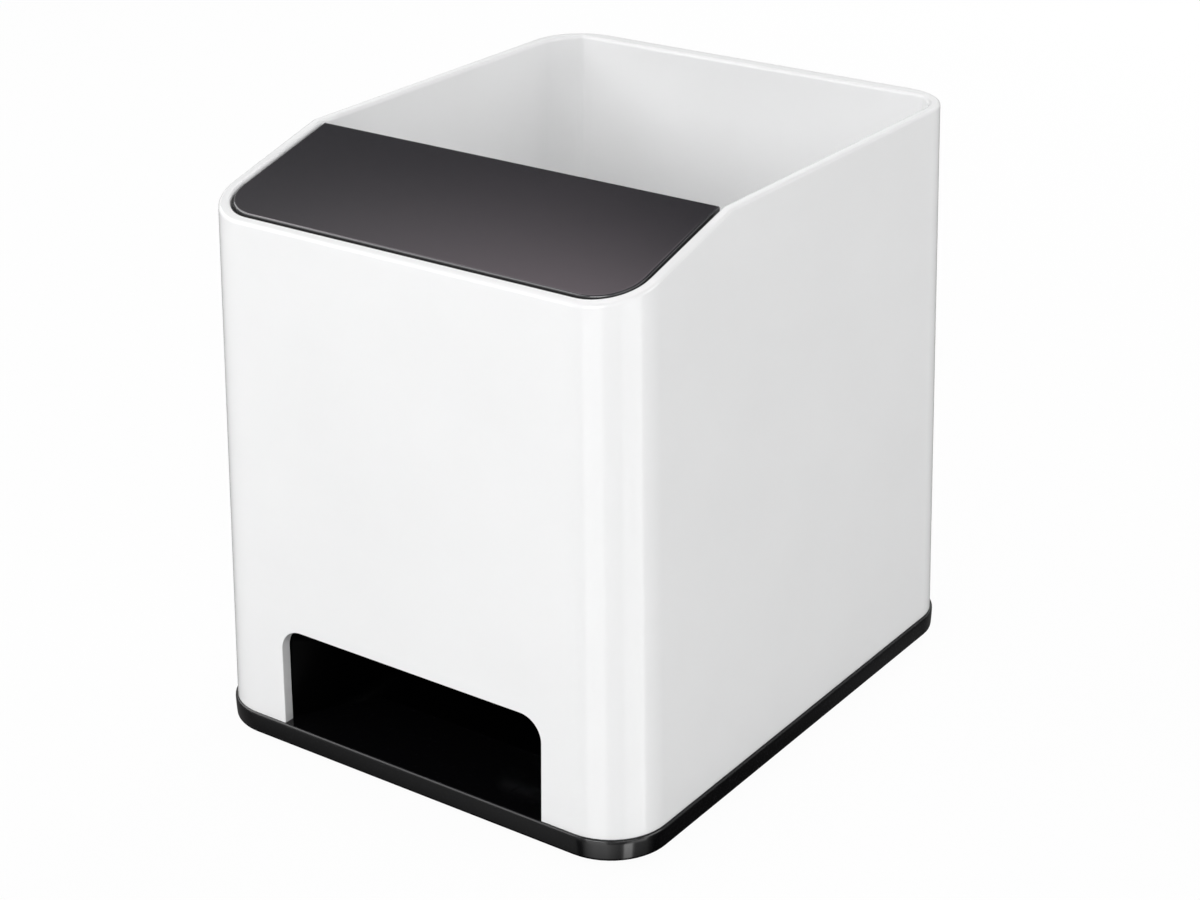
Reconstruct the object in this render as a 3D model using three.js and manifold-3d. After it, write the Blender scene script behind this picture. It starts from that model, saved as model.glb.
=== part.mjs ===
// Desk pen holder with a passive sound booster.
// A telephone stands in the slot behind the sloped panel.
// A horn leads its sound to the mouth in the front foot.
// Millimetres, Z up, the front faces -Y. The origin is on the table, under the middle of the base.

import * as THREE from 'three';
import { mergeVertices } from 'three/addons/utils/BufferGeometryUtils.js';
import Module from 'manifold-3d';

const wasm = await Module();
wasm.setup();

// Outer shell
const shellWidth = 87.4; // outside, at the foot
const shellDepth = 105.8; // outside, at the foot
const bodyHeight = 100; // rim above the base's underside
const wallLean = 2.2; // each wall draws in by this from foot to rim
const footRadius = 10.25; // upright corners, at the foot
const rimRadius = 9.6; // upright corners, at the rim
const sideWall = 2;
const backWall = 3; // thicker, so it meets the corners in a crease
const rimRound = 0.5; // outer edge of the rim
const innerRimRound = 0.7; // inner edge of the rim
const slopeDrop = 8; // the front's top edge lies this far below the rim
const slopeRun = 29.3; // level distance from the front's top edge to the fold

// Mouth in the front foot
const mouthMargin = 16.7; // white wall left on each side of it, at the foot
const mouthHeight = 22; // top edge above the base's underside
const mouthCorner = 5.2;

// Screw posts inside the shell
const postRadius = 3.2;
const postGap = 1.3; // from the side wall to the post
const postSetback = 9.2; // from the front or back wall to the post's side
const postHeight = 11.6;
const webThickness = 1.6;

// Ledge under the panel
const ledgeWidth = 1.7;
const ledgeThickness = 1.4;

// Sloped panel
const panelGap = 0.35; // all round, to the shell
const panelSink = 0.15; // its face below the slope
const panelThickness = 2;
const panelRound = 0.4;
const skirtThickness = 1.6;
const skirtDepth = 9; // below the rim
const hookWidth = 7;
const hookThickness = 1.3;
const hookReach = 0.9;
const sideHookShare = 0.45; // side hooks along the slope
const frontHookShare = 0.5; // front hooks across the half width

// Base tray
const baseHeight = 3.85;
const baseProud = 0.45; // beyond the shell's foot, all round
const baseEdgeRound = 0.4;
const deckThickness = 2;
const skirtWall = 2.2;
const ribThickness = 1.2;
const ribLift = 0.3; // ribs stay this far above the base's underside
const lipHeight = 2.5;
const lipThickness = 1.2;
const lipChamfer = 0.4;

// Feet
const footPadRadius = 5;
const footPadThickness = 2;
const footProjection = 0.8; // below the base's underside
const footPadRound = 0.35;
const footInset = 10.7; // pad's centre from the side of the shell
const footSetback = 27; // pad's centre from the front or back of the shell
const footBossWall = 1.2;

// Screws
const screwLength = 9.5; // under the head
const screwRadius = 1.35;
const screwHeadRadius = 2.8;
const screwHeadHeight = 1.4;
const screwSink = 0.3; // head below the base's underside
const screwHeadRound = 0.4;
const screwTip = 1.2;
const crossLength = 3;
const crossWidth = 0.7;
const crossDepth = 0.8;
const screwBossWall = 1.5;

// Inner cradle
const cradleWall = 1.8;
const slotDepth = 14; // front to back, for the telephone
const slotFloorHeight = 32; // above the base's underside
const penFloorHeight = 18;
const dividerDrop = 22; // divider's top below the rim
const cradleFillet = 1.5;
const tongueThickness = 1.2;
const tongueHeight = 4;
const tongueRoot = 3;
const cradleRibThickness = 1.6;
const cradleRibSetback = 5; // from the pen floor's back edge

// Sound horn
const hornWall = 1.4;
const inletWidth = 26;
const inletMargin = 3; // slot floor left in front of and behind the inlet
const inletCorner = 2;
const inletSink = 0.6; // collar's end below the slot floor
const hornLap = 0.4; // the outlet's inside hidden past the mouth's edges
const hornFloorDrop = 5; // the outlet's lower corners lie below the deck's face, where the horn is cut off

// Clearances
const fitGap = 0.25; // cradle to shell
const seatGap = 0.2; // panel to ledge and cradle
const lipGap = 0.2; // base lip to shell
const pinGap = 0.2; // screws in their holes, pads in their recesses
const hornGap = 0.3;
const cutOver = 1; // overrun of every cut

// Facets
const cornerSteps = 14;
const edgeSteps = 4;
const roundSteps = 20;
const curveSteps = 8;
const hornSteps = 12;
const hornCornerSteps = 5;
const settleSteps = 4;

// How fast the horn opens towards the mouth
const hornFlare = 1.1;

// Shares of the space between the base's skirts, and of the shell's half width
const baseRibShares = [-0.36, 0, 0.36];
const cradleRibShares = [-0.5, 0, 0.5];

// Levels and places that follow
const underside = footProjection;
const seamZ = underside + baseHeight;
const rimZ = underside + bodyHeight;
const mouthZ = underside + mouthHeight;
const slopeFootZ = rimZ - slopeDrop;
const slotFloorZ = underside + slotFloorHeight;
const penFloorZ = underside + penFloorHeight;
const screwSeatZ = underside + screwHeadHeight + screwSink;
const padTopZ = underside + footPadThickness - footProjection;
const slopeFootY = -halfDepth(slopeFootZ);
const foldY = slopeFootY + slopeRun;
const slopeAngle = Math.atan2(slopeDrop, slopeRun);
const slopeLength = Math.hypot(slopeDrop, slopeRun);
const slotBackY = foldY + slotDepth;
const slotMiddleY = foldY + slotDepth / 2;
const dividerBackY = slotBackY + cradleWall;
const penBackY = halfDepth(penFloorZ) - backWall - fitGap;
const tongueBackY = foldY - skirtThickness - seatGap;
const tongueFrontY = tongueBackY - tongueThickness;
const ledgeTop = -(panelSink + panelThickness + seatGap);
const ledgeUnder = ledgeTop - ledgeThickness;
const sideLipX = shellWidth / 2 - sideWall - lipGap;
const backLipY = shellDepth / 2 - backWall - lipGap;
const mouthHalf = shellWidth / 2 - mouthMargin;
const postX = shellWidth / 2 - sideWall - postGap - postRadius;
const postY = shellDepth / 2 - sideWall - postSetback - postRadius;
const padX = shellWidth / 2 - footInset;
const padY = shellDepth / 2 - footSetback;
const corners = [
  { name: 'front_left', x: -1, y: -1 },
  { name: 'front_right', x: 1, y: -1 },
  { name: 'back_left', x: -1, y: 1 },
  { name: 'back_right', x: 1, y: 1 },
];

const whiteGloss = { color: 0xf4f4f5, roughness: 0.16, metalness: 0 };
const whiteSatin = { color: 0xededee, roughness: 0.3, metalness: 0 };
const blackGloss = { color: 0x0b0b0c, roughness: 0.14, metalness: 0 };
const anthracite = { color: 0x3b393c, roughness: 0.42, metalness: 0 };
const rubber = { color: 0x1b1b1c, roughness: 0.85, metalness: 0 };
const zincSteel = { color: 0xa9abad, roughness: 0.35, metalness: 1 };

// Directions of an arc's ends
const right = 0;
const up = Math.PI / 2;
const left = Math.PI;
const down = -Math.PI / 2;

// The walls lean in evenly from the foot to the rim.
function rise(z) {
  return (z - seamZ) / (rimZ - seamZ);
}

function halfWidth(z) {
  return shellWidth / 2 - wallLean * rise(z);
}

function halfDepth(z) {
  return shellDepth / 2 - wallLean * rise(z);
}

function cornerRadius(z) {
  return footRadius + (rimRadius - footRadius) * rise(z);
}

// Closed solids from three.js geometries, and back.
function solid(geometry) {
  geometry.deleteAttribute('normal');
  geometry.deleteAttribute('uv');
  const merged = mergeVertices(geometry);
  return new wasm.Manifold(new wasm.Mesh({
    numProp: 3,
    vertProperties: new Float32Array(merged.attributes.position.array),
    triVerts: new Uint32Array(merged.index.array),
  }));
}

function toGeometry(body) {
  const mesh = body.getMesh();
  const geometry = new THREE.BufferGeometry();
  geometry.setAttribute('position', new THREE.Float32BufferAttribute(mesh.vertProperties, 3));
  geometry.setIndex(new THREE.Uint32BufferAttribute(mesh.triVerts, 1));
  geometry.computeVertexNormals();
  return geometry;
}

// A skin over rings of points.
// A looped skin joins its last ring to its first, and any other is capped at both ends.
function skin(rings, looped = false) {
  const count = rings[0].length;
  const places = rings.flat();
  const faces = [];
  const spans = looped ? rings.length : rings.length - 1;
  for (let i = 0; i < spans; i += 1) {
    const next = (i + 1) % rings.length;
    for (let j = 0; j < count; j += 1) {
      const k = (j + 1) % count;
      faces.push(i * count + j, i * count + k, next * count + k);
      faces.push(i * count + j, next * count + k, next * count + j);
    }
  }
  if (!looped) {
    const last = (rings.length - 1) * count;
    for (let j = 1; j < count - 1; j += 1) {
      faces.push(0, j + 1, j);
      faces.push(last, last + j, last + j + 1);
    }
  }
  const geometry = new THREE.BufferGeometry().setFromPoints(places);
  geometry.setIndex(faces);
  return solid(geometry);
}

// Extrudes a drawn shape, lays it out and places it.
function extruded(shape, depth, layout, placing, options = {}) {
  const geometry = new THREE.ExtrudeGeometry(shape, {
    depth,
    bevelEnabled: false,
    curveSegments: curveSteps,
    ...options,
  });
  geometry.applyMatrix4(layout);
  geometry.applyMatrix4(placing);
  return solid(geometry);
}

const asBuilt = new THREE.Matrix4();

// A shape drawn in X and Y, raised along Z.
function raise(shape, fromZ, toZ, placing = asBuilt) {
  return extruded(shape, toZ - fromZ, new THREE.Matrix4().makeTranslation(0, 0, fromZ), placing);
}

// A side view, drawn in Y and Z, run along X.
function runAcross(shape, fromX, toX, placing = asBuilt) {
  const layout = new THREE.Matrix4().makeBasis(
    new THREE.Vector3(0, 1, 0),
    new THREE.Vector3(0, 0, 1),
    new THREE.Vector3(1, 0, 0),
  );
  return extruded(shape, toX - fromX, layout.setPosition(fromX, 0, 0), placing);
}

// A front view, drawn in X and Z, run along Y.
function runBack(shape, fromY, toY, placing = asBuilt) {
  const layout = new THREE.Matrix4().makeRotationX(Math.PI / 2).setPosition(0, toY, 0);
  return extruded(shape, toY - fromY, layout, placing);
}

function rectangle(fromX, toX, fromY, toY) {
  const shape = new THREE.Shape();
  shape.moveTo(fromX, fromY);
  shape.lineTo(toX, fromY);
  shape.lineTo(toX, toY);
  shape.lineTo(fromX, toY);
  shape.closePath();
  return shape;
}

function roundedRectangle(fromX, toX, fromY, toY, radius) {
  const shape = new THREE.Shape();
  shape.absarc(toX - radius, toY - radius, radius, right, up);
  shape.absarc(fromX + radius, toY - radius, radius, up, left);
  shape.absarc(fromX + radius, fromY + radius, radius, left, down);
  shape.absarc(toX - radius, fromY + radius, radius, down, right);
  shape.closePath();
  return shape;
}

function disc(x, y, radius, fromZ, toZ) {
  const geometry = new THREE.CylinderGeometry(radius, radius, toZ - fromZ, roundSteps);
  geometry.rotateX(Math.PI / 2);
  geometry.translate(x, y, (fromZ + toZ) / 2);
  return solid(geometry);
}

function joined(bodies) {
  return bodies.reduce((whole, body) => whole.add(body));
}

function ordered(a, b) {
  return a < b ? [a, b] : [b, a];
}

// Even angles through a quarter turn.
function quarterTurns(steps) {
  return Array.from({ length: steps + 1 }, (_, i) => Math.PI / 2 * i / steps);
}

// The shell's plan outline, as places that find their point at any level and inset.
function planPlaces() {
  const places = [];
  const crease = Math.asin((rimRadius - backWall) / (rimRadius - sideWall));
  const corner = (x, y, start) => {
    const turns = quarterTurns(cornerSteps).map((turn) => start + turn);
    if (y > 0) {
      turns.push(x > 0 ? crease : Math.PI - crease);
      turns.sort((a, b) => a - b);
    }
    turns.forEach((turn) => places.push({ x, y, turn }));
  };
  places.push({ x: 1, run: foldY });
  corner(1, 1, right);
  corner(-1, 1, up);
  places.push({ x: -1, run: foldY });
  corner(-1, -1, left);
  corner(1, -1, down);
  return places;
}

function planPoint(place, z, inset) {
  if (place.run !== undefined) {
    return new THREE.Vector3(place.x * (halfWidth(z) - inset), place.run, z);
  }
  const radius = cornerRadius(z);
  return new THREE.Vector3(
    place.x * (halfWidth(z) - radius) + (radius - inset) * Math.cos(place.turn),
    place.y * (halfDepth(z) - radius) + (radius - inset) * Math.sin(place.turn),
    z,
  );
}

// The inner face keeps the side wall's thickness round the corners.
// It never passes the flat face of the thicker back wall.
function wallThickness(place, z) {
  if (place.run !== undefined || place.y < 0) {
    return sideWall;
  }
  const radius = cornerRadius(z);
  const facing = Math.max(Math.sin(place.turn), Number.EPSILON);
  return Math.max(sideWall, radius - (radius - backWall) / facing);
}

// Height of the shell's top: flat at the rim, sloping down to the front from the fold.
function topZ(y) {
  return Math.min(rimZ, slopeFootZ + (y - slopeFootY) * Math.tan(slopeAngle));
}

function rimPoint(place, inset, drop) {
  let z = rimZ;
  for (let i = 0; i < settleSteps; i += 1) {
    z = topZ(planPoint(place, z, inset).y) - drop;
  }
  return planPoint(place, z, inset);
}

// A solid that fills the shell's outline to a given inset, from below the seam to above the rim.
function envelope(inset) {
  const ring = (z) => planPlaces().map((place) => planPoint(place, z, inset));
  return skin([ring(seamZ - cutOver), ring(rimZ + cutOver)]);
}

function shellWalls() {
  const places = planPlaces();
  const outer = quarterTurns(edgeSteps).map((turn) => places.map((place) => (
    rimPoint(place, rimRound * (1 - Math.cos(turn)), rimRound * (1 - Math.sin(turn)))
  )));
  const inner = quarterTurns(edgeSteps).reverse().map((turn) => places.map((place) => {
    const inset = wallThickness(place, rimZ) - innerRimRound * (1 - Math.cos(turn));
    return rimPoint(place, inset, innerRimRound * (1 - Math.sin(turn)));
  }));
  const outerFoot = places.map((place) => planPoint(place, seamZ, 0));
  const innerFoot = places.map((place) => planPoint(place, seamZ, wallThickness(place, seamZ)));
  return skin([outerFoot, ...outer, ...inner, innerFoot], true);
}

// The slope's own axes: X across, Y up the slope from the front's top edge, Z out of its face.
const slopePlacing = new THREE.Matrix4().makeRotationX(slopeAngle).setPosition(0, slopeFootY, slopeFootZ);

// A point of the side view in the slope's own axes.
function slopePoint(y, z) {
  const dy = y - slopeFootY;
  const dz = z - slopeFootZ;
  return new THREE.Vector2(
    dy * Math.cos(slopeAngle) + dz * Math.sin(slopeAngle),
    -dy * Math.sin(slopeAngle) + dz * Math.cos(slopeAngle),
  );
}

// Distance up the slope at which an upright plane across the holder meets a depth under the face.
function slopeReach(y, depth) {
  return (y - slopeFootY + depth * Math.sin(slopeAngle)) / Math.cos(slopeAngle);
}

function panelLedge() {
  const inner = sideWall + ledgeWidth;
  const backEdge = slopeReach(tongueFrontY - seatGap, ledgeUnder);
  const half = halfWidth(slopeFootZ) - inner;
  const radius = cornerRadius(slopeFootZ) - inner;
  const front = inner / Math.cos(slopeAngle);
  const opening = roundedRectangle(-half, half, front, slopeLength + shellDepth, radius);
  const whole = rectangle(-shellWidth / 2, shellWidth / 2, 0, backEdge);
  const plate = raise(whole, ledgeUnder, ledgeTop, slopePlacing);
  const hole = raise(opening, ledgeUnder - cutOver, ledgeTop + cutOver, slopePlacing);
  return plate.subtract(hole).intersect(envelope(sideWall / 2));
}

function screwPosts() {
  const topOfPosts = seamZ + postHeight;
  const half = webThickness / 2;
  const posts = corners.map(({ x, y }) => {
    const [fromX, toX] = ordered(x * postX, x * shellWidth / 2);
    const [fromY, toY] = ordered(y * postY, y * shellDepth / 2);
    return joined([
      disc(x * postX, y * postY, postRadius, seamZ, topOfPosts),
      raise(rectangle(fromX, toX, y * postY - half, y * postY + half), seamZ, topOfPosts),
      raise(rectangle(x * postX - half, x * postX + half, fromY, toY), seamZ, topOfPosts),
    ]);
  });
  return joined(posts).intersect(envelope(sideWall / 2));
}

function postHoles() {
  const radius = screwRadius + pinGap;
  const toZ = screwSeatZ + screwLength + screwTip;
  return joined(corners.map(({ x, y }) => disc(x * postX, y * postY, radius, seamZ - cutOver, toZ)));
}

function mouthCut() {
  const shape = new THREE.Shape();
  shape.moveTo(-mouthHalf, seamZ - cutOver);
  shape.lineTo(mouthHalf, seamZ - cutOver);
  shape.absarc(mouthHalf - mouthCorner, mouthZ - mouthCorner, mouthCorner, right, up);
  shape.absarc(-mouthHalf + mouthCorner, mouthZ - mouthCorner, mouthCorner, up, left);
  shape.closePath();
  return runBack(shape, -shellDepth / 2 - cutOver, -shellDepth / 2 + wallLean + sideWall + cutOver);
}

function outerShell() {
  return joined([shellWalls(), panelLedge(), screwPosts()]).subtract(postHoles()).subtract(mouthCut());
}

// The panel seen from the side: the plate, then the skirt that drops from its back edge.
function panelSection() {
  const face = -panelSink;
  const under = face - panelThickness;
  const skirtFootZ = rimZ - skirtDepth;
  const backFoot = slopePoint(foldY, skirtFootZ);
  const frontFoot = slopePoint(foldY - skirtThickness, skirtFootZ);
  const edge = slopeReach(foldY, face);
  const shape = new THREE.Shape();
  shape.moveTo(-cutOver, under);
  shape.lineTo(slopeReach(foldY - skirtThickness, under), under);
  shape.lineTo(frontFoot.x, frontFoot.y);
  shape.lineTo(backFoot.x, backFoot.y);
  shape.lineTo(edge + panelRound * Math.sin(slopeAngle), face - panelRound * Math.cos(slopeAngle));
  shape.quadraticCurveTo(edge, face, edge - panelRound, face);
  shape.lineTo(-cutOver, face);
  shape.closePath();
  return shape;
}

// The panel's outline from above. It narrows with the shell and follows the shell's front corners.
function panelOutline() {
  const inset = sideWall + panelGap;
  const frontHalf = halfWidth(slopeFootZ) - inset;
  const backHalf = halfWidth(rimZ) - inset;
  const front = inset / Math.cos(slopeAngle);
  const radius = cornerRadius(slopeFootZ) - inset;
  const shape = new THREE.Shape();
  shape.absarc(frontHalf - radius, front + radius, radius, down, right);
  shape.lineTo(backHalf, slopeLength);
  shape.lineTo(backHalf, slopeLength + skirtDepth);
  shape.lineTo(-backHalf, slopeLength + skirtDepth);
  shape.lineTo(-backHalf, slopeLength);
  shape.absarc(-frontHalf + radius, front + radius, radius, left, down);
  shape.closePath();
  return shape;
}

function panelBlank() {
  const depth = skirtDepth + slopeDrop;
  const layout = new THREE.Matrix4().makeTranslation(0, 0, -panelSink - panelRound - depth);
  return extruded(panelOutline(), depth, layout, asBuilt, {
    curveSegments: cornerSteps,
    bevelEnabled: true,
    bevelThickness: panelRound,
    bevelSize: panelRound,
    bevelOffset: -panelRound,
    bevelSegments: edgeSteps,
  });
}

// A hook that drops from the panel's underside and catches under the ledge.
// It reaches towards -Y before it is turned.
function hook(x, y, turn) {
  const root = -(panelSink + panelThickness / 2);
  const catchTop = ledgeUnder - seatGap;
  const foot = catchTop - 2 * hookReach;
  const shape = new THREE.Shape();
  shape.moveTo(0, root);
  shape.lineTo(0, catchTop);
  shape.lineTo(-hookReach - seatGap, catchTop);
  shape.lineTo(0, foot);
  shape.lineTo(hookThickness, foot);
  shape.lineTo(hookThickness, root);
  shape.closePath();
  const placing = new THREE.Matrix4().makeRotationZ(turn).setPosition(x, y, 0);
  return runAcross(shape, -hookWidth / 2, hookWidth / 2, placing);
}

function panelHooks() {
  const clear = sideWall + ledgeWidth + seatGap;
  const frontY = clear / Math.cos(slopeAngle);
  const sideX = halfWidth(slopeFootZ) - clear;
  const sideY = slopeLength * sideHookShare;
  return joined([
    hook(-sideX * frontHookShare, frontY, 0),
    hook(sideX * frontHookShare, frontY, 0),
    hook(sideX, sideY, Math.PI / 2),
    hook(-sideX, sideY, -Math.PI / 2),
  ]);
}

function slopedPanel() {
  const bar = runAcross(panelSection(), -shellWidth / 2, shellWidth / 2);
  return bar.intersect(panelBlank()).add(panelHooks());
}

// The base's outline stands proud of the shell's foot.
function baseRing(inset, z) {
  return planPlaces().map((place) => planPoint(place, seamZ, inset - baseProud).setZ(z));
}

function baseBlock() {
  const fall = (turn) => baseEdgeRound * (1 - Math.sin(turn));
  const inset = (turn) => baseEdgeRound * (1 - Math.cos(turn));
  const turns = quarterTurns(edgeSteps);
  const upper = turns.map((turn) => baseRing(inset(turn), seamZ - fall(turn)));
  const lower = turns.reverse().map((turn) => baseRing(inset(turn), underside + fall(turn)));
  return skin([...lower, ...upper]);
}

function baseStiffeners() {
  const half = ribThickness / 2;
  const [reachX, reachY] = [shellWidth / 2, shellDepth / 2];
  const footprints = baseRibShares.flatMap((share) => [
    rectangle(share * reachX - half, share * reachX + half, -reachY, reachY),
    rectangle(-reachX, reachX, share * reachY - half, share * reachY + half),
  ]);
  const ribs = footprints.map((footprint) => raise(footprint, underside + ribLift, seamZ));
  const bosses = corners.flatMap(({ x, y }) => [
    disc(x * postX, y * postY, screwHeadRadius + pinGap + screwBossWall, underside - cutOver, seamZ),
    disc(x * padX, y * padY, footPadRadius + pinGap + footBossWall, underside - cutOver, seamZ),
  ]);
  return joined([...ribs, ...bosses]);
}

// The hollow under the deck, left solid where ribs and bosses run.
function baseHollow() {
  const hollow = skin([underside - cutOver, seamZ - deckThickness].map((z) => baseRing(skirtWall, z)));
  return hollow.subtract(baseStiffeners());
}

function baseHoles() {
  return joined(corners.flatMap(({ x, y }) => [
    disc(x * postX, y * postY, screwRadius + pinGap, underside - cutOver, seamZ + cutOver),
    disc(x * postX, y * postY, screwHeadRadius + pinGap, underside - cutOver, screwSeatZ),
    disc(x * padX, y * padY, footPadRadius + pinGap, underside - cutOver, padTopZ),
  ]));
}

// An upright lip that registers in the shell's foot, run along the +X side before it is turned.
function baseLip(outerFace, half, turn) {
  const innerFace = outerFace - lipThickness;
  const root = seamZ - deckThickness / 2;
  const top = seamZ + lipHeight;
  const shape = new THREE.Shape();
  shape.moveTo(innerFace, root);
  shape.lineTo(outerFace, root);
  shape.lineTo(outerFace, top - lipChamfer);
  shape.lineTo(outerFace - lipChamfer, top);
  shape.lineTo(innerFace, top);
  shape.closePath();
  return runBack(shape, -half, half, new THREE.Matrix4().makeRotationZ(turn));
}

function baseTray() {
  const sideHalf = postY - postRadius - webThickness;
  const backHalf = postX - postRadius - webThickness;
  const lips = joined([
    baseLip(sideLipX, sideHalf, 0),
    baseLip(sideLipX, sideHalf, Math.PI),
    baseLip(backLipY, backHalf, Math.PI / 2),
  ]);
  return baseBlock().subtract(baseHollow()).subtract(baseHoles()).add(lips);
}

// The cradle seen from the side: partition and its tongue, slot floor, divider, pen floor.
function cradleSection() {
  const partitionTop = rimZ - skirtDepth - seatGap;
  const dividerTop = rimZ - dividerDrop;
  const nose = cradleWall / 2;
  const fillet = cradleFillet;
  const frontFace = foldY - cradleWall;
  const shape = new THREE.Shape();
  shape.moveTo(tongueBackY, partitionTop);
  shape.lineTo(foldY, partitionTop);
  shape.absarc(foldY + fillet, slotFloorZ + fillet, fillet, left, down);
  shape.absarc(slotBackY - fillet, slotFloorZ + fillet, fillet, down, right);
  shape.absarc(slotBackY + nose, dividerTop - nose, nose, left, right, true);
  shape.absarc(dividerBackY + fillet, penFloorZ + fillet, fillet, left, down);
  shape.lineTo(penBackY, penFloorZ);
  shape.lineTo(penBackY, penFloorZ - cradleWall);
  shape.lineTo(dividerBackY, penFloorZ - cradleWall);
  shape.lineTo(dividerBackY, seamZ);
  shape.lineTo(slotBackY, seamZ);
  shape.lineTo(slotBackY, slotFloorZ - cradleWall);
  shape.lineTo(frontFace, slotFloorZ - cradleWall);
  shape.lineTo(frontFace, partitionTop - tongueRoot - tongueThickness);
  shape.lineTo(tongueFrontY, partitionTop - tongueRoot);
  shape.lineTo(tongueFrontY, partitionTop + tongueHeight);
  shape.lineTo(tongueBackY, partitionTop + tongueHeight);
  shape.closePath();
  return shape;
}

function cradleRibs() {
  const half = cradleRibThickness / 2;
  const side = rectangle(slotBackY + half, penBackY - cradleRibSetback, seamZ, penFloorZ - cradleWall / 2);
  return joined(cradleRibShares.map((share) => {
    const x = share * shellWidth / 2;
    return runAcross(side, x - half, x + half);
  }));
}

// The window in the slot floor that the horn's collar stands in.
function collarWindow() {
  const halfX = inletWidth / 2 + hornWall + hornGap;
  const halfY = inletHalf() + hornWall + hornGap;
  const radius = inletCorner + hornWall + hornGap;
  const shape = roundedRectangle(-halfX, halfX, slotMiddleY - halfY, slotMiddleY + halfY, radius);
  return raise(shape, slotFloorZ - cradleWall - cutOver, slotFloorZ + cutOver);
}

// Room beside the divider's foot for the base's side lips.
function lipRooms() {
  const inner = sideLipX - lipThickness - fitGap;
  const toZ = seamZ + lipHeight + fitGap;
  return joined([-1, 1].map((side) => {
    const [fromX, toX] = ordered(side * inner, side * shellWidth / 2);
    return raise(rectangle(fromX, toX, -shellDepth / 2, shellDepth / 2), seamZ - cutOver, toZ);
  }));
}

function innerCradle() {
  return runAcross(cradleSection(), -shellWidth / 2, shellWidth / 2)
    .add(cradleRibs())
    .intersect(envelope(sideWall + fitGap))
    .subtract(collarWindow())
    .subtract(lipRooms());
}

function inletHalf() {
  return slotDepth / 2 - inletMargin;
}

// The horn's path turns a quarter, from straight down under the slot to straight out at the mouth.
// Its clear section grows ever faster on the way.
function hornSection(turn, wall) {
  const inletZ = slotFloorZ - inletSink;
  const outletTop = mouthZ + hornLap;
  const outletFloor = seamZ - hornFloorDrop;
  const run = -shellDepth / 2 + sideWall - slotMiddleY;
  const fall = (outletTop + outletFloor) / 2 - inletZ;
  const opened = Math.expm1(hornFlare * (1 - Math.cos(turn))) / Math.expm1(hornFlare);
  const halfX = THREE.MathUtils.lerp(inletWidth / 2, mouthHalf + hornLap, opened) + wall;
  const halfV = THREE.MathUtils.lerp(inletHalf(), (outletTop - outletFloor) / 2, opened) + wall;
  const radius = THREE.MathUtils.lerp(inletCorner, mouthCorner, opened) + wall;
  const centreY = slotMiddleY + run * (1 - Math.cos(turn));
  const centre = new THREE.Vector3(0, centreY, inletZ + fall * Math.sin(turn));
  const along = new THREE.Vector3(0, run * Math.sin(turn), fall * Math.cos(turn)).normalize();
  const across = new THREE.Vector3(1, 0, 0);
  const upright = new THREE.Vector3().crossVectors(along, across);
  const outline = [[1, 1, right], [-1, 1, up], [-1, -1, left], [1, -1, down]];
  return outline.flatMap(([x, v, start]) => quarterTurns(hornCornerSteps).map((angle) => {
    const offX = x * (halfX - radius) + radius * Math.cos(start + angle);
    const offV = v * (halfV - radius) + radius * Math.sin(start + angle);
    return centre.clone().addScaledVector(across, offX).addScaledVector(upright, offV);
  }));
}

function soundHorn() {
  const turns = quarterTurns(hornSteps);
  const outside = turns.map((turn) => hornSection(turn, hornWall));
  const inside = turns.map((turn) => hornSection(turn, 0)).reverse();
  const tube = skin([...outside, ...inside], true);
  const below = raise(rectangle(-shellWidth, shellWidth, -shellDepth, shellDepth), -shellDepth, seamZ);
  return tube.intersect(envelope(sideWall + hornGap)).subtract(below);
}

// A foot pad, standing on its own origin.
function footPad() {
  const profile = [new THREE.Vector2(0, 0)];
  quarterTurns(edgeSteps).forEach((turn) => {
    profile.push(new THREE.Vector2(
      footPadRadius - footPadRound * (1 - Math.sin(turn)),
      footPadRound * (1 - Math.cos(turn)),
    ));
  });
  profile.push(new THREE.Vector2(footPadRadius, footPadThickness));
  profile.push(new THREE.Vector2(0, footPadThickness));
  const geometry = new THREE.LatheGeometry(profile, roundSteps);
  geometry.rotateX(Math.PI / 2);
  return solid(geometry);
}

// A pan-headed screw, its shank up and the underside of its head at its own origin.
function baseScrew() {
  const profile = [new THREE.Vector2(0, -screwHeadHeight)];
  quarterTurns(edgeSteps).forEach((turn) => {
    profile.push(new THREE.Vector2(
      screwHeadRadius - screwHeadRound * (1 - Math.sin(turn)),
      -screwHeadHeight + screwHeadRound * (1 - Math.cos(turn)),
    ));
  });
  profile.push(new THREE.Vector2(screwHeadRadius, 0));
  profile.push(new THREE.Vector2(screwRadius, 0));
  profile.push(new THREE.Vector2(screwRadius, screwLength - screwTip));
  profile.push(new THREE.Vector2(0, screwLength));
  const geometry = new THREE.LatheGeometry(profile, roundSteps);
  geometry.rotateX(Math.PI / 2);
  const slots = [
    rectangle(-crossLength / 2, crossLength / 2, -crossWidth / 2, crossWidth / 2),
    rectangle(-crossWidth / 2, crossWidth / 2, -crossLength / 2, crossLength / 2),
  ];
  const fromZ = -screwHeadHeight - cutOver;
  const cross = joined(slots.map((slot) => raise(slot, fromZ, crossDepth - screwHeadHeight)));
  return solid(geometry).subtract(cross);
}

function part(name, body, finish, place = new THREE.Vector3()) {
  const mesh = new THREE.Mesh(toGeometry(body), new THREE.MeshStandardMaterial(finish));
  mesh.name = name;
  mesh.position.copy(place);
  return mesh;
}

function panelPart() {
  const panel = part('sloped_panel', slopedPanel(), anthracite, new THREE.Vector3(0, slopeFootY, slopeFootZ));
  panel.rotation.x = slopeAngle;
  return panel;
}

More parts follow.
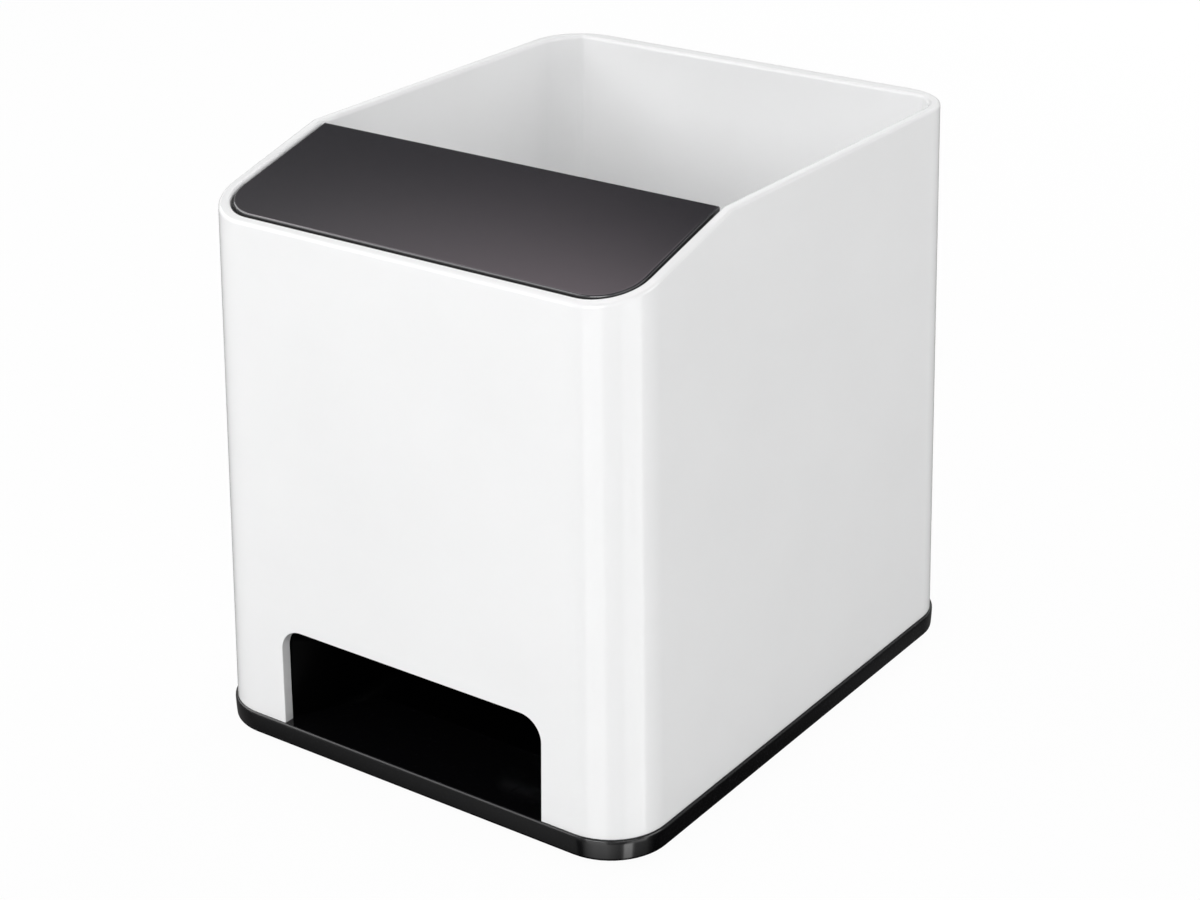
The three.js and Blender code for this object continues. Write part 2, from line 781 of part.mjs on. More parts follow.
const holder = new THREE.Group();
holder.add(part('outer_shell', outerShell(), whiteGloss));
holder.add(panelPart());
holder.add(part('base_tray', baseTray(), blackGloss));
holder.add(part('inner_cradle', innerCradle(), whiteSatin));
holder.add(part('sound_horn', soundHorn(), blackGloss));
corners.forEach(({ name, x, y }) => {
  const padPlace = new THREE.Vector3(x * padX, y * padY, 0);
  const screwPlace = new THREE.Vector3(x * postX, y * postY, screwSeatZ);
  holder.add(part(`foot_pad_${name}`, footPad(), rubber, padPlace));
  holder.add(part(`base_screw_${name}`, baseScrew(), zincSteel, screwPlace));
});

export default holder;
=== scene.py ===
"""Desk pen holder with a sound horn, finished for a studio picture.

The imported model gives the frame. Each operator makes one piece of the holder, or one group of like pieces, and
the last one sets the studio. Lengths are in metres, Z is up and the holder's front faces -Y.
"""

import math

import bmesh
import bpy
from bpy.props import FloatProperty, FloatVectorProperty, IntProperty, PointerProperty
from mathutils import Matrix, Vector


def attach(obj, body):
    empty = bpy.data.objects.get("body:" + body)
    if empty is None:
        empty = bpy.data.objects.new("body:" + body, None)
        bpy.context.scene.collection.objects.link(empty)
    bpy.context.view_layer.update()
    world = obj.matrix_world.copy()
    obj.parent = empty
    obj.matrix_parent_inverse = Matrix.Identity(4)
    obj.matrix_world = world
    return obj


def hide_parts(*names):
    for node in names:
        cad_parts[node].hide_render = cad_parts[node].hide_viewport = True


bl_info = {
    "name": "Desk Pen Holder",
    "version": (1, 0, 0),
    "blender": (4, 5, 0),
    "location": "3D View > Sidebar > Pen Holder",
    "description": "Makes the finished pieces of a desk pen holder and the studio around it",
    "category": "Object",
}

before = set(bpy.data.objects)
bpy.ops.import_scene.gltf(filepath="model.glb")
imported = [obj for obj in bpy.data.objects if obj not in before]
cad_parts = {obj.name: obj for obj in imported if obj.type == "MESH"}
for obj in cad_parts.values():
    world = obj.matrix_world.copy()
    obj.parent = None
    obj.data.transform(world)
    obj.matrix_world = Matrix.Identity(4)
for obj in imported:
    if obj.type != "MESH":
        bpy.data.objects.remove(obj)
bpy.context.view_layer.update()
BODY = "root"
CORNERS = ("front_left", "front_right", "back_left", "back_right")
MM = 0.001
WELD = 0.001 * MM  # points closer than this are one
FLAT = math.radians(0.4)  # faces that meet at less than this are one
SHARP = math.radians(25)  # edges that turn by more than this stay sharp
STANDING = 0.35  # a standing face's normal rises by less than this
FACING = 0.9  # a face looks along an axis if its normal has more than this along it
EDGE_ON = 0.1  # and is seen edge-on along it if it has less than this
BEVEL_STEPS = 3
ROUND_STEPS = 5
PAD_SIDES = 40
SCREW_SIDES = 32
RUB_SAMPLES = 6
PLASTIC_IOR = 1.5
MIDDLE = Vector((0, 0, 50 * MM))  # the point that the lamps face
SENSOR = 36  # the camera's, in mm
NEAREST, FARTHEST = 10 * MM, 20  # the camera's reach


class Field:
    """A node's output on which Python arithmetic adds Math nodes, in a material or in a Geometry Nodes tree."""

    def __init__(self, graph, socket):
        self.graph = graph
        self.socket = socket

    def maths(self, operation, *others):
        return self.graph.out("ShaderNodeMath", dict(enumerate((self, *others))), operation=operation)

    def __add__(self, other):
        return self.maths("ADD", other)

    __radd__ = __add__

    def __mul__(self, other):
        return self.maths("MULTIPLY", other)

    def __sub__(self, other):
        return self.maths("SUBTRACT", other)

    def __rsub__(self, other):
        return self.graph.out("ShaderNodeMath", {0: other, 1: self}, operation="SUBTRACT")

    def __truediv__(self, other):
        return self.maths("DIVIDE", other)

    def __mod__(self, other):
        return self.maths("MODULO", other)


class Graph:
    """Builds a node tree."""

    def __init__(self, tree):
        self.tree = tree

    def node(self, kind, sockets=None, **settings):
        """Adds a node with its settings, and gives its sockets their values or links."""
        made = self.tree.nodes.new(kind)
        for name, value in settings.items():
            setattr(made, name, value)
        for key, value in (sockets or {}).items():
            if isinstance(value, Field):
                self.tree.links.new(value.socket, made.inputs[key])
            else:
                made.inputs[key].default_value = value
        return made

    def out(self, kind, sockets=None, output=0, **settings):
        return Field(self, self.node(kind, sockets, **settings).outputs[output])

    def split(self, vector):
        """A vector's three values."""
        parts = self.node("ShaderNodeSeparateXYZ", {0: vector})
        return [Field(self, output) for output in parts.outputs]

    def mix(self, amount, first, second):
        """A mix of two colours."""
        return self.out("ShaderNodeMix", {0: amount, 6: first, 7: second}, 2, data_type="RGBA")

    def lookup(self, value, stops):
        """The value of a line through stops of place and value, which may be above 1 or below 0."""
        curve = self.node("ShaderNodeFloatCurve", {"Value": value})
        line = curve.mapping.curves[0]
        curve.mapping.use_clip = False
        curve.mapping.extend = "HORIZONTAL"
        while len(line.points) < len(stops):
            line.points.new(1, 1)
        for point, (place, height) in zip(line.points, stops):
            point.location = (place, height)
            point.handle_type = "VECTOR"
        curve.mapping.update()
        return Field(self, curve.outputs[0])


class Finish(Graph):
    """A material on the Principled shader, with patterns on Object coordinates."""

    def __init__(self, name, constants):
        material = bpy.data.materials.new(name)
        material.use_nodes = True
        super().__init__(material.node_tree)
        self.material = material
        self.tree.nodes.clear()
        self.shader = self.node("ShaderNodeBsdfPrincipled", constants)
        self.node("ShaderNodeOutputMaterial", {"Surface": Field(self, self.shader.outputs[0])})
        self.place = self.out("ShaderNodeTexCoord", output="Object")

    def noise(self, size, detail=2.0, roughness=0.5, stretch=None):
        """Noise from 0 to 1 whose features are about size metres wide, narrowed along an axis by stretch."""
        place = self.place
        if stretch:
            place = self.out("ShaderNodeMapping", {"Vector": place, "Scale": stretch})
        sockets = {"Vector": place, "Scale": 1 / size, "Detail": detail, "Roughness": roughness}
        return self.out("ShaderNodeTexNoise", sockets)

    def ramp(self, factor, *stops):
        """A grey between two stops of place and value."""
        made = self.node("ShaderNodeValToRGB", {"Fac": factor})
        for element, (position, value) in zip(made.color_ramp.elements, stops):
            element.position = position
            element.color = (value, value, value, 1)
        return Field(self, made.outputs[0])

    def facing(self, direction):
        """The cosine between the surface's true normal and a direction."""
        normal = self.out("ShaderNodeNewGeometry", output="Normal")
        return self.out("ShaderNodeVectorMath", {0: direction, 1: normal}, "Value", operation="DOT_PRODUCT")

    def edges(self, look):
        """1 on edges that a hand rubs, and on which a highlight is painted; 0 on flat faces."""
        rounded = self.out("ShaderNodeBevel", {"Radius": look.edge_width}, samples=RUB_SAMPLES)
        sockets = {0: 1 - self.facing(rounded), 1: look.edge_gain}
        return self.out("ShaderNodeMath", sockets, operation="MULTIPLY", use_clamp=True)

    def painted_gap_shade(self, gap):
        """1 on the sides of a plate that go down into the gap round it, 0 on its face: where shade is painted in
        the gap.
        """
        lean = math.atan(gap.slope)
        facing = self.facing((0, -math.sin(lean), math.cos(lean)))
        before_skirt = self.split(self.place)[1].maths("LESS_THAN", gap.skirt_place)
        return self.ramp(facing, (0.3, 1.0), (0.6, 0.0)) * before_skirt

    def bump(self, height, depth, below=None):
        sockets = {"Height": height, "Distance": depth}
        if below:
            sockets["Normal"] = below
        return self.out("ShaderNodeBump", sockets)

    def fed(self, colour, roughness, normal):
        """The material, with the values that vary linked to the shader."""
        for key, value in {"Base Color": colour, "Roughness": roughness, "Normal": normal}.items():
            self.tree.links.new(value.socket, self.shader.inputs[key])
        return self.material


def shade(colour, factor=1.0):
    """A colour made lighter or darker, with full alpha."""
    return (*(min(1.0, channel * factor) for channel in colour), 1.0)


def moulded_gloss(name, look, worn_and_highlit_from=-1.0):
    """Polished moulded plastic: a nearly even colour, a slow waviness of the surface and faint handling haze.

    Only edges above a given height take the worn colour; on the black base it is a painted highlight along its
    upper edges.
    """
    finish = Finish(name, {"IOR": PLASTIC_IOR, "Specular IOR Level": look.level})
    flow = finish.noise(look.flow_size, detail=3.0)
    haze = finish.noise(look.haze_size, detail=4.0, roughness=0.6)
    hairs = finish.noise(look.hair_size, stretch=(1.0, 0.12, 0.35))
    worn_and_highlit = finish.edges(look) * finish.split(finish.place)[2].maths("GREATER_THAN", worn_and_highlit_from)
    tint = finish.mix(finish.ramp(flow, (0.3, 0.0), (0.7, 1.0)), shade(look.colour, 0.99), shade(look.colour, 1.01))
    # Edges take the worn colour: rubbed wear, and on the black base a painted highlight.
    colour = finish.mix(worn_and_highlit * look.wear_and_highlight, tint, shade(look.wear_and_highlight_colour))
    streaks = finish.ramp(hairs, (0.62, 0.0), (0.72, 1.0))
    roughness = look.roughness + (haze - 0.5) * look.haze + streaks * look.hairs + worn_and_highlit * look.haze
    wave = finish.bump(flow, look.wave_depth)
    normal = finish.bump(hairs, look.hair_depth, below=wave)
    return finish.fed(colour, roughness, normal)


def spark_grained(name, look, gap):
    """Satin plastic from a spark-eroded mould: a very fine even grain under a soft sheen, polished on its edges,
    with a painted highlight on its edges and painted shade on its sides down in the gap.
    """
    finish = Finish(name, {"IOR": PLASTIC_IOR, "Specular IOR Level": look.level})
    grain = finish.noise(look.grain_size, detail=3.0, roughness=0.65)
    cloud = finish.noise(look.flow_size)
    worn_and_highlit = finish.edges(look)
    speck = finish.ramp(grain, (0.35, 0.0), (0.65, 1.0))
    tint = finish.mix(speck, shade(look.colour, 0.9), shade(look.colour, 1.1))
    # Painted highlight: the plate's rounded edges lighten towards the worn colour.
    tint = finish.mix(worn_and_highlit * look.wear_and_highlight, tint, shade(look.wear_and_highlight_colour))
    # Painted shade: the plate's sides down in the gap keep only a dark share of its colour, and grow rough.
    painted_gap_shade = finish.painted_gap_shade(gap)
    colour = finish.mix(painted_gap_shade, tint, shade(look.colour, gap.painted_shade_share))
    roughness = look.roughness + (speck - 0.5) * look.haze + (cloud - 0.5) * look.haze - worn_and_highlit * look.polish
    roughness = roughness + painted_gap_shade * (1 - look.roughness)
    return finish.fed(colour, roughness, finish.bump(grain, look.wave_depth))


def soft_rubber(name, look):
    """Matte rubber with a fine open grain and a little dust in it."""
    finish = Finish(name, {"IOR": PLASTIC_IOR, "Specular IOR Level": look.level})
    grain = finish.noise(look.grain_size, detail=4.0, roughness=0.7)
    dust = finish.ramp(finish.noise(look.flow_size, detail=3.0), (0.5, 0.0), (0.8, 1.0))
    colour = finish.mix(dust * look.wear_and_highlight, shade(look.colour), shade(look.wear_and_highlight_colour))
    roughness = look.roughness + (grain - 0.5) * look.haze
    return finish.fed(colour, roughness, finish.bump(grain, look.wave_depth))


def plated_steel(name, look):
    """Zinc-plated steel: metal with cloudy plating and fine turning marks."""
    finish = Finish(name, {"Metallic": 1.0})
    cloud = finish.noise(look.flow_size, detail=4.0, roughness=0.6)
    marks = finish.noise(look.grain_size, stretch=(0.3, 0.3, 6.0))
    colour = finish.mix(cloud, shade(look.colour, 0.85), shade(look.colour, 1.1))
    roughness = look.roughness + (cloud - 0.5) * look.haze
    return finish.fed(colour, roughness, finish.bump(marks, look.wave_depth))


def length(name, description, millimetres):
    return FloatProperty(name=name, description=description, default=millimetres * MM, unit="LENGTH", precision=5)


def place(name, description, *millimetres):
    default = [value * MM for value in millimetres]
    return FloatVectorProperty(
        name=name, description=description, default=default, size=len(default), unit="LENGTH", precision=5
    )


def angle(name, description, degrees):
    return FloatProperty(name=name, description=description, default=math.radians(degrees), subtype="ANGLE")


def number(name, description, default):
    return FloatProperty(name=name, description=description, default=default)


def share(name, description, default):
    return FloatProperty(name=name, description=description, default=default, min=0, max=1, subtype="FACTOR")


def colour(name, description, grey):
    default = (grey, grey, grey)
    return FloatVectorProperty(name=name, description=description, default=default, min=0, max=1, subtype="COLOR")


class PlasticLook(bpy.types.PropertyGroup):
    """The look of one moulded finish."""

    colour: colour("Colour", "Colour of the plastic", 0.8)
    # On the panel and the base, the worn colour and its strength paint a highlight on the edges.
    wear_and_highlight_colour: colour("Worn colour", "Colour where an edge is rubbed", 0.8)
    roughness: share("Roughness", "Mean roughness of the surface", 0.15)
    level: share("Specular level", "Strength of the surface's reflection", 0.5)
    haze: share("Haze", "How much the roughness varies", 0.05)
    hairs: share("Hair marks", "Roughness added by fine hair marks", 0.03)
    wear_and_highlight: share("Wear", "Strength of the worn colour on edges", 0.2)
    polish: share("Edge polish", "How much smoother a rubbed edge is", 0.06)
    edge_width: length("Edge width", "Width of the rubbed band on an edge", 0.4)
    edge_gain: number("Edge gain", "Sharpness of the rubbed band", 3.0)
    flow_size: length("Flow size", "Width of the slow waves that moulding leaves", 22)
    haze_size: length("Haze size", "Width of the patches of handling haze", 9)
    hair_size: length("Hair size", "Spacing of the fine hair marks", 0.6)
    grain_size: length("Grain size", "Width of the mould's grain", 0.16)
    wave_depth: length("Wave depth", "Height of the waves or of the grain", 0.004)
    hair_depth: length("Hair depth", "Height of the hair marks", 0.0003)


class ShellSettings(bpy.types.PropertyGroup):
    """The white outer shell."""

    mouth_edge: length("Mouth edge", "Rounding of the mouth's edges", 0.16)
    mouth_top: length("Mouth top", "Height of the mouth's top edge", 22.8)
    mouth_half: length("Mouth half width", "Half the mouth's width", 27)
    mouth_corner: length("Mouth corner", "Corner radius of the mouth", 4.15)
    packed_corner: length("Packed corner", "Corner radius of the mouth in the packed model", 5.2)
    mouth_slack: length("Mouth slack", "How far from the mouth's outline its points may lie", 0.03)
    front_wall: length("Front wall", "Place along Y before which the mesh belongs to the front wall", -45)
    front_lean: number("Front lean", "How far the front wall draws back for its height", 2.2 / 96.15)
    rim_edge: length("Rim edge", "Rounding of the rim's and the slope's edges", 0.18)
    rim_lowest: length("Rim foot", "Height above which edges belong to the rim or the slope", 90)
    look: PointerProperty(type=PlasticLook)


class GapSettings(bpy.types.PropertyGroup):
    """How the sloped panel stands in its opening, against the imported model."""

    foot_place: length("Foot place", "Place along Y of the slope's front edge", -50.883)
    foot_height: length("Foot height", "Height of the slope's front edge", 92.8)
    slope: number("Slope", "Rise of the slope for its run", 8 / 29.3)
    front: length("Front gap", "How far the plate draws in at its front edge", 0.02)
    back: length("Back gap", "How far the plate's sides draw in at its back edge", 0.16)
    front_rise: length("Front rise", "How much higher the plate's face lies at its front edge", 0.08)
    back_rise: length("Back rise", "How much higher the plate's face lies at its back edge", 0.1)
    plate: length("Plate", "Depth below the slope above which the mesh belongs to the plate's face", 1.0)
    # The gap's painted shade: the share of the colour left on the plate's sides down in the gap.
    painted_shade_share: share("Darkness", "Share of the colour that is left in the gap", 0.06)
    skirt_place: length("Skirt place", "Place along Y behind which the plate turns down into its skirt", -23.4)


class PanelSettings(bpy.types.PropertyGroup):
    """The dark sloped panel."""

    edge: length("Edge", "Rounding of the plate's upper edges", 0.35)
    lowest: length("Edge foot", "Height above which edges belong to the plate's top", 90)
    half_width: length("Half width", "Half the plate's width in the packed model", 39.3)
    run: length("Run", "Distance along Y from the slope's front edge to the plate's back edge", 29.3)
    gap: PointerProperty(type=GapSettings)
    look: PointerProperty(type=PlasticLook)


class TraySettings(bpy.types.PropertyGroup):
    """The black base tray."""

    half_width: length("Half width", "Half the tray's width", 44.15)
    half_depth: length("Half depth", "Half the tray's depth", 53.35)
    corner: length("Corner", "Corner radius of the tray", 10.7)
    rim: length("Rim", "Depth from the outside in which the mesh belongs to the rim's side", 0.45)
    foot: length("Foot", "Height of the rim's lower face", 0.8)
    curve_from: length("Curve from", "Height below which the side curves in", 4.3)
    curve: length("Curve", "How far the side has drawn in at its foot", 0.12)
    curve_steps: IntProperty(name="Curve steps", description="Rows of faces on the curved side", default=6, min=2)
    # Edges above this height take a painted highlight in the worn colour.
    worn_and_highlit_from: length("Worn from", "Height above which edges are rubbed", 4)
    look: PointerProperty(type=PlasticLook)


class CradleSettings(bpy.types.PropertyGroup):
    """The white inner cradle."""

    edge: length("Edge", "Rounding of the divider's and the partition's upper edges", 0.25)
    lowest: length("Edge foot", "Height above which edges are rounded", 30)
    look: PointerProperty(type=PlasticLook)


class HornSettings(bpy.types.PropertyGroup):
    """The black sound horn behind the mouth."""

    inlet_half_width: length("Inlet half width", "Half the inlet's clear width", 13)
    inlet_half_depth: length("Inlet half depth", "Half the inlet's clear depth", 4)
    inlet_corner: length("Inlet corner", "Corner radius of the clear inlet", 2)
    inlet_top: length("Inlet top", "Height at which the collar ends", 32.2)
    inlet_middle: length("Inlet middle", "Place of the inlet's middle along Y", -14.583)
    outlet_half_width: length("Outlet half width", "Half the outlet's clear width", 27.4)
    outlet_corner: length("Outlet corner", "Corner radius of the clear outlet", 4.4)
    outlet_top: length("Outlet top", "Height of the outlet's clear top", 23.2)
    outlet_floor: length("Outlet floor", "Height of the outlet's floor, below the deck", -0.35)
    outlet_front: length("Outlet front", "Place of the outlet along Y", -50.9)
    deck: length("Deck", "Height of the deck that the horn stands on", 4.65)
    front_foot: length("Front at the deck", "Place along Y of the horn's front edge at the deck", -50.6)
    front_lean: length("Front lean", "How far the front edge draws back over the outlet's height", 0.44)
    wall: length("Wall", "Thickness of the horn's wall", 1.4)
    flare: number("Flare", "How fast the horn opens towards the mouth", 1.1)
    path_steps: IntProperty(name="Path steps", description="Sections along the path", default=48, min=4)
    corner_steps: IntProperty(name="Corner steps", description="Faces in each rounded corner", default=10, min=2)
    look: PointerProperty(type=PlasticLook)


class FixingSettings(bpy.types.PropertyGroup):
    """The foot pads and the base's screws."""

    pad_place: place("Pad place", "Distance of each pad from the middle", 33, 25.9)
    pad_radius: length("Pad radius", "Radius of a foot pad", 5)
    pad_thickness: length("Pad thickness", "Thickness of a foot pad", 2)
    pad_round: length("Pad rounding", "Rounding of a pad's lower edge", 0.35)
    screw_place: place("Screw place", "Distance of each screw from the middle", 37.2, 38.5)
    screw_seat: length("Screw seat", "Height of the face that a screw's head bears on", 2.5)
    screw_radius: length("Screw radius", "Radius of the shank", 1.35)
    screw_length: length("Screw length", "Length under the head", 9.5)
    head_radius: length("Head radius", "Radius of a screw's head", 2.8)
    head_height: length("Head height", "Height of a screw's head", 1.4)
    head_round: length("Head rounding", "Rounding of the head's edge", 0.4)
    cross_length: length("Cross length", "Length of each slot of the cross recess", 3)
    cross_width: length("Cross width", "Width of each slot of the cross recess", 0.7)
    cross_depth: length("Cross depth", "Depth of the cross recess", 0.8)
    rubber: PointerProperty(type=PlasticLook)
    steel: PointerProperty(type=PlasticLook)


class StudioSettings(bpy.types.PropertyGroup):
    """Camera, lamps, floor and backdrop."""

    azimuth: angle("Azimuth", "Camera's turn from the front", 35.372)
    elevation: angle("Elevation", "Camera's angle above the level", 24.101)
    roll: angle("Roll", "Camera's turn about its own axis", -0.399)
    distance: length("Distance", "From the camera to its target", 490.54)
    target: place("Target", "Point that the camera looks at", -29.03, 42.93, 19.62)
    lens: number("Lens", f"Focal length on a {SENSOR} mm sensor, in mm", 74.778)
    floor_colour: colour("Floor", "Colour of the pale floor", 0.74)
    floor_size: length("Floor size", "Width of the floor", 6000)
    whiteness: share("Whiteness", "How far the floor shows the camera the plain white backdrop", 0.96)
    ambient: number("Ambient", "Strength of the light from all round", 0.15)
    sheen: number("Sheen", "Strength of the card that the panel reflects", 0.7)


def merged_copy(node):
    """A CAD node's mesh as a clean one: doubles merged, and faces that lie in one plane made one."""
    mesh = bmesh.new()
    mesh.from_mesh(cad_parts[node].data)
    bmesh.ops.remove_doubles(mesh, verts=mesh.verts, dist=WELD)
    bmesh.ops.dissolve_limit(mesh, angle_limit=FLAT, verts=mesh.verts, edges=mesh.edges)
    return mesh


def round_edges(mesh, edges, radius):
    """Rounds edges in a mesh, and stops if there are none."""
    if not edges:
        raise RuntimeError("there are no edges to round")
    bmesh.ops.bevel(
        mesh, geom=edges, offset=radius, offset_type="OFFSET", segments=BEVEL_STEPS, profile=0.5, affect="EDGES",
        clamp_overlap=False,
    )


def upper_edges(mesh, lowest):
    """The outward edges above a height, between a face that looks up and one that stands."""
    found = []
    for edge in mesh.edges:
        if len(edge.link_faces) != 2 or not edge.is_convex or min(end.co.z for end in edge.verts) < lowest:
            continue
        standing, lying = sorted((face.normal.z for face in edge.link_faces), key=abs)
        if abs(standing) < STANDING and lying > FACING:
            found.append(edge)
    return found


def plain_object(name, mesh):
    """An object at the origin that holds the given bmesh."""
    data = bpy.data.meshes.new(name)
    mesh.to_mesh(data)
    mesh.free()
    piece = bpy.data.objects.new(name, data)
    bpy.context.scene.collection.objects.link(piece)
    return piece


def baked(piece):
    """Applies the modifiers of a piece to its mesh."""
    bpy.context.view_layer.update()
    evaluated = piece.evaluated_get(bpy.context.evaluated_depsgraph_get())
    data = bpy.data.meshes.new_from_object(evaluated)
    piece.modifiers.clear()
    piece.data = data
    data.name = piece.name
    return piece


def smooth(piece):
    """Smooth shading between sharp edges, led by the large faces."""
    piece.data.shade_smooth()
    piece.data.set_sharp_from_angle(angle=SHARP)
    weighted = piece.modifiers.new("Weighted normals", "WEIGHTED_NORMAL")
    weighted.keep_sharp = True
    weighted.weight = 100
    return baked(piece)


def hand_over(piece, material, slot, *nodes):
    """Gives a finished piece its material and its place in the frame."""
    piece.data.materials.clear()
    piece.data.materials.append(material)
    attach(piece, BODY)
    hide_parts(*nodes)


class HOLDER_OT_shell(bpy.types.Operator):
    """Make the white outer shell, with softly rounded edges round its mouth"""

    bl_idname = "holder.shell"
    bl_label = "Outer shell"

    def execute(self, context):
        settings = context.scene.holder_shell
        mesh = merged_copy("outer_shell")
        self.tighten_mouth(mesh, settings)
        cut_edges = [edge for edge in mesh.edges if self.on_mouth(edge, settings)]
        round_edges(mesh, cut_edges, settings.mouth_edge)
        round_edges(mesh, upper_edges(mesh, settings.rim_lowest), settings.rim_edge)
        piece = smooth(plain_object("shell", mesh))
        hand_over(piece, moulded_gloss("white gloss plastic", settings.look), "shell_white", "outer_shell")
        return {"FINISHED"}

    @staticmethod
    def tighten_mouth(mesh, settings):
        """Gives the mouth's two upper corners their smaller radius, in the leaning front wall."""
        wide, tight, slack = settings.packed_corner, settings.mouth_corner, settings.mouth_slack
        found = 0
        for vertex in mesh.verts:
            across = abs(vertex.co.x) - (settings.mouth_half - wide)
            above = vertex.co.z - (settings.mouth_top - wide)
            on_arc = abs(math.hypot(across, above) - wide) < slack and min(across, above) > -slack
            if vertex.co.y > settings.front_wall or not on_arc:
                continue
            found += 1
            rise = (wide - tight) * (1 - above / wide)
            vertex.co.x += math.copysign((wide - tight) * (1 - across / wide), vertex.co.x)
            vertex.co.y += rise * settings.front_lean
            vertex.co.z += rise
        if not found:
            raise RuntimeError("the mouth has no rounded corners")

    @staticmethod
    def on_mouth(edge, settings):
        """True where the front wall's face meets the cut through it, within 1 mm round the mouth."""
        middle = (edge.verts[0].co + edge.verts[1].co) / 2
        near = middle.z <= settings.mouth_top + MM and abs(middle.x) < settings.mouth_half + MM
        if not near or middle.y > settings.front_wall or len(edge.link_faces) != 2:
            return False
        cut, face = sorted(abs(face.normal.y) for face in edge.link_faces)
        return cut < EDGE_ON and face > FACING


class HOLDER_OT_panel(bpy.types.Operator):
    """Make the dark sloped panel"""

    bl_idname = "holder.panel"
    bl_label = "Sloped panel"

    def execute(self, context):
        settings = context.scene.holder_panel
        mesh = merged_copy("sloped_panel")
        self.draw_in(mesh, settings)
        round_edges(mesh, upper_edges(mesh, settings.lowest), settings.edge)
        piece = smooth(plain_object("panel", mesh))
        material = spark_grained("satin anthracite plastic", settings.look, settings.gap)
        hand_over(piece, material, "panel_anthracite", "sloped_panel")
        return {"FINISHED"}

    @staticmethod
    def draw_in(mesh, settings):
        """Draws the plate's sides in and lifts its face, both a little more towards its back edge."""
        gap = settings.gap
        lean = math.atan(gap.slope)
        for vertex in mesh.verts:
            run, rise = vertex.co.y - gap.foot_place, vertex.co.z - gap.foot_height
            to_front = min(max(1 - run / settings.run, 0), 1)
            vertex.co.x *= 1 - between(gap.back, gap.front, to_front) / settings.half_width
            drawn = gap.front * to_front
            vertex.co.y += drawn
            vertex.co.z += drawn * gap.slope
            if rise * math.cos(lean) - run * math.sin(lean) > -gap.plate:
                vertex.co.z += between(gap.back_rise, gap.front_rise, to_front)


class HOLDER_OT_tray(bpy.types.Operator):
    """Make the black base tray"""

    bl_idname = "holder.tray"
    bl_label = "Base tray"

    def execute(self, context):
        settings = context.scene.holder_tray
        mesh = merged_copy("base_tray")
        self.curve_side(mesh, settings)
        piece = smooth(plain_object("tray", mesh))
        material = moulded_gloss("black gloss plastic", settings.look, settings.worn_and_highlit_from)
        hand_over(piece, material, "base_black", "base_tray")
        return {"FINISHED"}

    @staticmethod
    def curve_side(mesh, settings):
        """Draws the side of the rim in towards its foot, on a slow curve."""
        height = settings.curve_from - settings.foot
        for step in range(1, settings.curve_steps):
            parts = mesh.verts[:] + mesh.edges[:] + mesh.faces[:]
            level = (0, 0, settings.foot + height * step / settings.curve_steps)
            bmesh.ops.bisect_plane(mesh, geom=parts, dist=WELD, plane_co=level, plane_no=(0, 0, 1))
        for vertex in mesh.verts:
            place = vertex.co.xy
            past = Vector((
                max(abs(place.x) - settings.half_width + settings.corner, 0),
                max(abs(place.y) - settings.half_depth + settings.corner, 0),
            ))
            if past.length < settings.corner - settings.rim or vertex.co.z > settings.curve_from:
                continue
            outward = Vector((math.copysign(past.x, place.x), math.copysign(past.y, place.y))).normalized()
            vertex.co.xy = place - outward * settings.curve * ((settings.curve_from - vertex.co.z) / height) ** 2


class HOLDER_OT_cradle(bpy.types.Operator):
    """Make the white inner cradle"""

    bl_idname = "holder.cradle"
    bl_label = "Inner cradle"

    def execute(self, context):
        settings = context.scene.holder_cradle
        mesh = merged_copy("inner_cradle")
        round_edges(mesh, upper_edges(mesh, settings.lowest), settings.edge)
        piece = smooth(plain_object("cradle", mesh))
        hand_over(piece, moulded_gloss("white satin plastic", settings.look), "cradle_white", "inner_cradle")
        return {"FINISHED"}


class ShapeTree(Graph):
    """A Geometry Nodes tree with named inputs that are also the modifier's settings."""

    def __init__(self, name, **inputs):
        tree = bpy.data.node_groups.new(name, "GeometryNodeTree")
        super().__init__(tree)
        tree.interface.new_socket("Geometry", in_out="OUTPUT", socket_type="NodeSocketGeometry")
        self.values = inputs
        for label, value in inputs.items():
            tree.interface.new_socket(label, in_out="INPUT", socket_type=self.socket_type(value))
        entry = self.node("NodeGroupInput")
        self.inputs = {label: Field(self, entry.outputs[label]) for label in inputs}

    @staticmethod
    def socket_type(value):
        kinds = {int: "Int", float: "Float", bpy.types.Object: "Object", bpy.types.Material: "Material"}
        kind = next(word for known, word in kinds.items() if isinstance(value, known))
        return "NodeSocket" + kind

    def joined(self, *socket_list):
        """Three values as a vector."""
        return self.out("ShaderNodeCombineXYZ", dict(enumerate(socket_list)))

    def moved(self, geometry, **sockets):
        return self.out("GeometryNodeTransform", {"Geometry": geometry, **sockets})

    def finish(self, geometry, material):
        real = self.out("GeometryNodeRealizeInstances", {"Geometry": geometry})
        dressed = self.out("GeometryNodeSetMaterial", {"Geometry": real, "Material": material})
        self.node("NodeGroupOutput", {0: dressed})

    def make(self, name):
        """An object with this tree's geometry, as a plain mesh."""
        piece = plain_object(name, bmesh.new())
        modifier = piece.modifiers.new(name, "NODES")
        modifier.node_group = self.tree
        for item in self.tree.interface.items_tree:
            if item.in_out == "INPUT":
                modifier[item.identifier] = self.values[item.name]
        return baked(piece)


def cosine(value):
    return value.maths("COSINE")


def sine(value):
    return value.maths("SINE")


def between(first, second, amount):
    return first + (second - first) * amount


